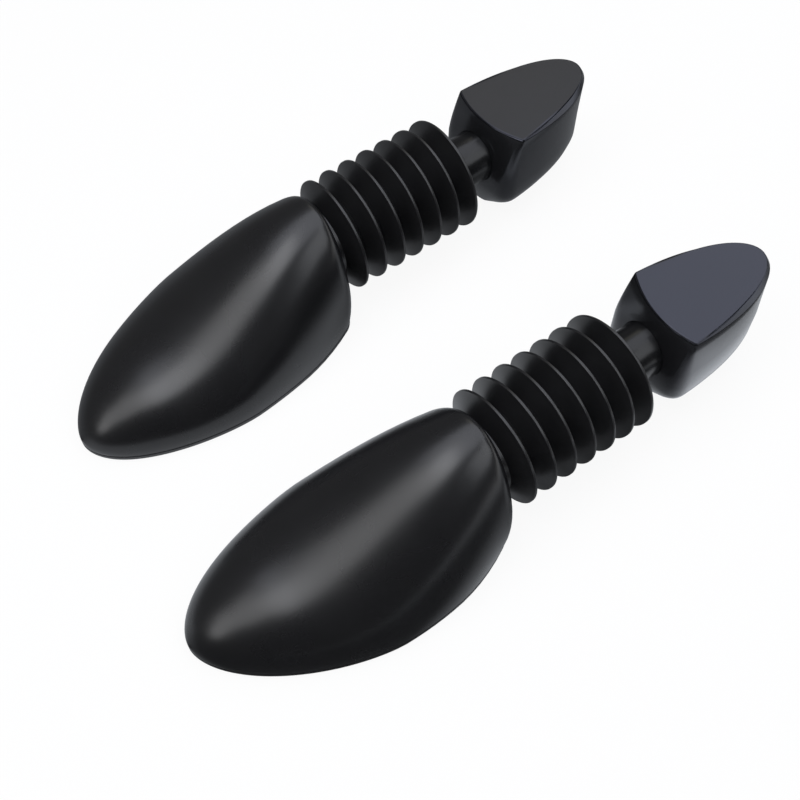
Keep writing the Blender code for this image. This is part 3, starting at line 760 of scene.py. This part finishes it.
heel_length = 0.0650
heel_height = 0.0550
heel_half_width = 0.0235
heel_wall = 0.0026
heel_swing = math.radians(2.6)
heel_front_skew = 0.0012
side_lean = 0.0022
front_lean = 0.0038
corner_set = 0.0016
corner_lean = 0.0072
top_corner = corner_set + corner_lean
top_corner_round = 0.0008
low_corner_round = 0.0070
top_shift = 0.0011
rear_fullness = 1.075
foot_height = 0.0200
foot_side_tuck = 0.0122
foot_front_tuck = 0.0052
foot_corner_tuck = 0.0100
foot_rear_tuck = 0.0150
lid_base = 0.0520
plug_base = 0.0490
shell_top = lid_base - seat_gap
seam_climb = 0.0022
seam_run_out = 0.0350
seam_chamfer = 0.0006
boss_radius = 0.0158
boss_bore = 0.0128
boss_start = 0.0028
boss_end = 0.0240
bore_start = -0.0120
bore_length = 0.0480
outer_heights = (0.0008, 0.002, 0.004, 0.007, 0.011, 0.0155, foot_height,
                 0.0262, axis_height, 0.0365, 0.0410, 0.0455, plug_base)
inner_heights = (shell_top - seam_chamfer, plug_base, axis_height, foot_height, 0.0130, 0.0075, heel_wall)


def heel_plan(height, tightest=0.0):
    """Plan of the heel block at a height, before it is swung: its outer front corner leads."""
    front_points, corner_points, side_points = 10, 7, 26
    lean = max(height - axis_height, 0.0) / (heel_height - axis_height)
    back = lean ** 1.3
    tuck = (max(foot_height - height, 0.0) / foot_height) ** 1.5
    half_width = heel_half_width - side_lean * lean - foot_side_tuck * tuck
    front = front_lean * back + foot_front_tuck * tuck
    rear = heel_length - foot_rear_tuck * tuck
    corner_round = max(low_corner_round + (top_corner_round - low_corner_round) * lean, tightest)
    edge_x = half_width - corner_round
    halves = []
    for lead in (-heel_front_skew * back, heel_front_skew * back):
        corner = corner_set + corner_lean * back + foot_corner_tuck * tuck + lead
        bow = corner - front - lead
        start = math.asin((corner_round / (rear - corner)) ** rear_fullness)
        first = Vector((edge_x, front + bow * (edge_x / half_width) ** 2 + lead * edge_x / half_width))
        tip = Vector((half_width, corner))
        last_point = Vector((half_width * math.cos(start),
                             corner + (rear - corner) * math.sin(start) ** (1 / rear_fullness)))
        half = []
        for i in range(front_points):
            x = edge_x * i / front_points
            half.append((x, front + bow * (x / half_width) ** 2 + lead * x / half_width))
        for i in range(corner_points):
            t = i / corner_points
            half.append(tuple(first * (1 - t) ** 2 + tip * 2 * t * (1 - t) + last_point * t ** 2))
        for i in range(side_points + 1):
            turn = start + (math.pi / 2 - start) * i / side_points
            half.append((half_width * math.cos(turn),
                         corner + (rear - corner) * math.sin(turn) ** (1 / rear_fullness)))
        halves.append(half)
    plan = halves[0] + [(-x, y) for x, y in halves[1][-2:0:-1]]
    return [(x - top_shift * lean, y) for x, y in plan]


def swing_out(points, height):
    """Swing a plan outline outwards about the middle of the heel's front, at its height."""
    swung = []
    for x, y in points:
        across = x * math.cos(heel_swing) + y * math.sin(heel_swing)
        along = -x * math.sin(heel_swing) + y * math.cos(heel_swing)
        swung.append((across, heel_front_y + along, height - axis_height))
    return swung


def heel_level(height, inset):
    """Outline of the heel block at a height, drawn in by an inset with its corners kept round."""
    tightest = 1.3 * inset if inset > 0.001 else 0.0
    return swing_out(plan_inset(heel_plan(height, tightest), inset), height)


def behind_corners(x, y, run_out):
    """Rises from 0 at the front corners to 1 where a point lies the run-out behind them."""
    past = y - top_corner + heel_front_skew * x / heel_half_width
    return min(max(past / run_out, 0.0), 1.0)


def seam_level(height, inset):
    """Outline along the seam with the lid, which climbs forward to the front corners."""
    climbed = []
    for level, climb, (x, y) in zip(heel_level(height, inset), heel_level(height + seam_climb, inset),
                                    heel_plan(height)):
        climbed.append(tuple(Vector(climb).lerp(Vector(level), behind_corners(x, y, seam_run_out))))
    return climbed


gloss_black = moulded_plastic("gloss_black", (0.0105, 0.0107, 0.0117), (0.0145, 0.0148, 0.0160),
                              0.22, 0.05, 3000.0, 0.000005, 0.35)
gloss_black.node_tree.nodes["Principled BSDF"].inputs["Specular Tint"].default_value = (0.88, 0.91, 1.0, 1.0)

levels = [heel_level(0.0, 0.0008), heel_level(0.0002, 0.0003)]
levels += [heel_level(height, 0.0) for height in outer_heights]
levels += [seam_level(shell_top - 0.00004, 0.0), seam_level(shell_top, 0.00002)]
levels += [seam_level(shell_top - seam_chamfer, 0.0007)]
levels += [heel_level(height, heel_wall) for height in inner_heights]
heel = draw_through(levels)
shape_with(heel, round_rod(boss_radius, boss_end - boss_start, (0, heel_front_y + boss_start, 0)), "UNION")
shape_with(heel, round_rod(boss_bore, bore_length, (0, heel_front_y + bore_start, 0)), "DIFFERENCE")
pin_hole = round_rod(pin_hole_radius, pin_hole_length, (0, pin_y, -pin_hole_length / 2), "Z")
shape_with(heel, pin_hole, "DIFFERENCE")
set_in_pair(heel, "heel_moulding", "heel", "heel_shell", gloss_black, 30.0)


# Heel pin. An upright steel pin with chamfered ends. It goes through the boss of the heel
# block and through the stem inside it, and keeps the two together.

pin_radius = 0.0015
pin_length = 0.0316

bpy.ops.object.select_all(action="DESELECT")
bpy.ops.mesh.primitive_cylinder_add(vertices=32, radius=pin_radius, depth=pin_length, location=(0, pin_y, 0))
bpy.ops.object.transform_apply(location=True, rotation=True, scale=True)
pin = bpy.context.object
break_edges(pin, 0.0003)
set_in_pair(pin, "cross_pin", "heel", "heel_pin", steel)


# Heel lid. A flat lid in the same glossy black plastic, polished on top. Its sides and rear
# have a steep rim that lies a little below the flat, with a hairline groove between them. The
# rim narrows forward to a point at the front corners, as the seam below it climbs.

rim_run = 0.0015
rim_run_out = 0.0300
rim_foot_edge = 0.00012
plug_inset = heel_wall + seat_gap

lid_black = moulded_plastic("lid_black", (0.0080, 0.0083, 0.0095), (0.0110, 0.0114, 0.0130),
                            0.20, 0.04, 3000.0, 0.000004, 0.25)
lid_black.node_tree.nodes["Principled BSDF"].inputs["Specular Tint"].default_value = (0.78, 0.81, 1.0, 1.0)

lid_plan = heel_plan(heel_height)
shares = [behind_corners(x, y, rim_run_out) for x, y in lid_plan]


def lid_level(drop, run, front_drop, front_run):
    """The top outline drawn in by the rim, then lowered and drawn in, less so in front."""
    widths = [rim_run * share + front_run + (run - front_run) * share for share in shares]
    return [(x, y, z - front_drop - (drop - front_drop) * share)
            for (x, y, z), share in zip(swing_out(draw_in(lid_plan, widths), heel_height), shares)]


lid = draw_through([
    swing_out(plan_inset(heel_plan(plug_base), plug_inset), plug_base),
    swing_out(plan_inset(heel_plan(lid_base), plug_inset), lid_base),
    seam_level(lid_base, rim_foot_edge),
    seam_level(lid_base + rim_foot_edge, 0.0),
    lid_level(0.00060, -0.00012, 0.00050, 0.0),
    lid_level(0.00046, -0.00003, 0.00022, 0.00009),
    lid_level(0.00044, 0.00010, 0.00006, 0.00026),
    lid_level(0.00095, 0.00016, 0.0, 0.00045),
    lid_level(0.00095, 0.00038, 0.0, 0.00055),
    lid_level(0.00007, 0.00044, 0.0, 0.00065),
    lid_level(0.0, 0.00053, 0.0, 0.00075),
])
set_in_pair(lid, "lid_plate", "heel", "heel_lid", lid_black, 30.0)


# Floor. A plain pale sheet under the pair, white to the camera, which takes the trees' soft shadow.
# What reflections see of it is a painted glow of light and shade: painted shade towards the camera,
# under the bellows, between the trees and just past the heels, and painted light beside the heels
# and far behind them.

bpy.ops.object.select_all(action="DESELECT")
bpy.ops.mesh.primitive_plane_add(size=6.0, location=(0, 0, -0.0002))
floor = bpy.context.object
floor.name = "studio_floor"


def measure(tree, operation, place, vector):
    """How far a place lies along a direction, or how far away it is from a point."""
    node = tree.nodes.new("ShaderNodeVectorMath")
    node.operation = operation
    feed(tree, node.inputs[0], place)
    node.inputs[1].default_value = vector
    return node.outputs["Value"]


paper = bpy.data.materials.new("floor_paper")
paper.use_nodes = True
tree = paper.node_tree
tree.nodes.clear()
place = tree.nodes.new("ShaderNodeTexCoord").outputs["Object"]
# Painted shade towards the camera, between the trees, under the bellows and just past the heels, and painted
# light beside the heels and far behind them, all in the glow that reflections see.
painted_shade_to_camera = grade(tree, measure(tree, "DOT_PRODUCT", place, (-1.0, 0.5, 0.0)), -0.143, -0.112, 0.08, 0.80)
painted_shade_between_trees = grade(tree, measure(tree, "DOT_PRODUCT", place, (1.0, -0.25, 0.0)), -0.030, -0.010, 0.35)
painted_shade_under_bellows = grade(tree, measure(tree, "DISTANCE", place, (0.075, 0.025, 0.0)), 0.030, 0.075, 0.2)
painted_light_beside_heels = grade(tree, measure(tree, "DISTANCE", place, (0.112, 0.109, 0.0)), 0.055, 0.010, 0.0, 0.68)
rearward = measure(tree, "DOT_PRODUCT", place, (0.766, 0.643, 0.0))
painted_shade_past_heels = grade(tree, rearward, 0.186, 0.166, 0.25)
far = grade(tree, rearward, 0.25, 0.45, 0.0, 1.3)
shaded = reckon(tree, "MULTIPLY", painted_shade_between_trees, painted_shade_under_bellows)
painted_near_glow = reckon(tree, "ADD", reckon(tree, "MULTIPLY", painted_shade_to_camera, shaded), painted_light_beside_heels)
painted_reflection_glow = reckon(tree, "MULTIPLY_ADD", painted_near_glow, painted_shade_past_heels, far)
path = tree.nodes.new("ShaderNodeLightPath")
seen = path.outputs["Is Camera Ray"]
mirrored = reckon(tree, "MAXIMUM", path.outputs["Is Glossy Ray"], path.outputs["Is Transmission Ray"])
matt = tree.nodes.new("ShaderNodeBsdfDiffuse")
matt.inputs["Color"].default_value = (0.90, 0.90, 0.90, 1.0)
shine = tree.nodes.new("ShaderNodeEmission")
# Reflections see the painted light and shade above as a cool glow; the camera sees plain white.
feed(tree, shine.inputs["Strength"], mix(tree, "FLOAT", seen, painted_reflection_glow, 1.0))
feed(tree, shine.inputs["Color"], mix(tree, "RGBA", seen, (0.90, 0.94, 1.0, 1.0), (1.0, 1.0, 1.0, 1.0)))
blend = tree.nodes.new("ShaderNodeMixShader")
feed(tree, blend.inputs["Fac"], reckon(tree, "MULTIPLY_ADD", seen, 0.92, mirrored))
feed(tree, blend.inputs[1], matt.outputs["BSDF"])
feed(tree, blend.inputs[2], shine.outputs["Emission"])
out = tree.nodes.new("ShaderNodeOutputMaterial")
feed(tree, out.inputs["Surface"], blend.outputs["Shader"])
floor.data.materials.append(paper)


# Light. Soft panels over the pair and beyond the toes draw the highlight along the crowns. A
# cooler one over the heels, one to the left and one to the right light the lids and the necks.
# The room is dim, darkest behind the camera, with a low white backdrop beyond the heels.

world = bpy.data.worlds.new("studio_room")
bpy.context.scene.world = world
world.use_nodes = True
tree = world.node_tree
tree.nodes.clear()
facing = tree.nodes.new("ShaderNodeTexCoord").outputs["Generated"]
walls = grade(tree, measure(tree, "DOT_PRODUCT", facing, (-1.0, 0.0, 0.0)), -0.6, 0.8, 0.07, 0.15)
width = grade(tree, measure(tree, "DOT_PRODUCT", facing, (0.57, 0.82, 0.0)), 0.60, 0.78, 0.0, 1.3)
top_edge = grade(tree, measure(tree, "DOT_PRODUCT", facing, (0.125, -0.339, 0.932)), 0.06, -0.02)
backdrop = reckon(tree, "MULTIPLY", width, top_edge)
path = tree.nodes.new("ShaderNodeLightPath")
mirrored = reckon(tree, "MULTIPLY_ADD", path.outputs["Is Glossy Ray"], backdrop, walls)
seen = reckon(tree, "MAXIMUM", path.outputs["Is Camera Ray"], path.outputs["Is Transmission Ray"])
room = tree.nodes.new("ShaderNodeBackground")
room.inputs["Color"].default_value = (1.0, 1.0, 1.0, 1.0)
feed(tree, room.inputs["Strength"], mix(tree, "FLOAT", seen, mirrored, 1.0))
out = tree.nodes.new("ShaderNodeOutputWorld")
feed(tree, out.inputs["Surface"], room.outputs["Background"])


def soft_panel(name, place, width, length, radiance, colour, towards=None):
    """A soft panel of even brightness that the camera can't see. It faces down unless turned."""
    data = bpy.data.lights.new(name, "AREA")
    data.shape = "RECTANGLE"
    data.size = width
    data.size_y = length
    data.energy = radiance * math.pi * width * length
    data.color = colour
    panel = bpy.data.objects.new(name, data)
    bpy.context.scene.collection.objects.link(panel)
    panel.location = place
    way = Vector(towards) - Vector(place) if towards else Vector((0, 0, -1))
    panel.rotation_euler = way.to_track_quat("-Z", "Y").to_euler()
    panel.visible_camera = False


panel_white = (0.98, 0.985, 1.0)
soft_panel("front_panel", (-0.28, -2.15, 1.0), 0.60, 1.00, 3.8, panel_white)
soft_panel("toe_panel", (-0.27, -1.35, 1.0), 0.62, 0.60, 2.8, panel_white)
soft_panel("overhead_panel", (-0.14, -0.78, 1.0), 0.60, 0.54, 2.4, panel_white)
soft_panel("crown_panel", (0.02, -0.33, 0.99), 0.50, 0.36, 3.3, panel_white)
soft_panel("heel_panel", (-0.14, 0.41, 1.0), 0.85, 1.66, 2.05, (0.88, 0.91, 1.0))
soft_panel("rear_panel", (0.71, 0.40, 0.95), 0.75, 0.75, 2.2, (0.92, 0.95, 1.0), (0.08, 0.03, 0.03))
soft_panel("side_panel", (-0.78, 0.76, 1.0), 0.5, 0.6, 1.0, (1.0, 0.97, 0.82))


# Camera. It stands at the photograph's viewing angle, high over the toe of the left tree, so
# that the pair lies across the picture from the lower left to the upper right.

azimuth = math.radians(53.82)
elevation = math.radians(59.15)
look = Vector((-math.sin(azimuth) * math.cos(elevation), math.cos(azimuth) * math.cos(elevation),
               -math.sin(elevation)))
lens_data = bpy.data.cameras.new("photo_camera")
lens_data.sensor_width = 36.0
lens_data.lens = 51.3
camera = bpy.data.objects.new("photo_camera", lens_data)
bpy.context.scene.collection.objects.link(camera)
camera.location = (0.2222, -0.1690, 0.4427)
camera.rotation_euler = look.to_track_quat("-Z", "Y").to_euler()
bpy.context.scene.camera = camera
bpy.context.scene.view_settings.view_transform = "Standard"

bpy.context.view_layer.update()
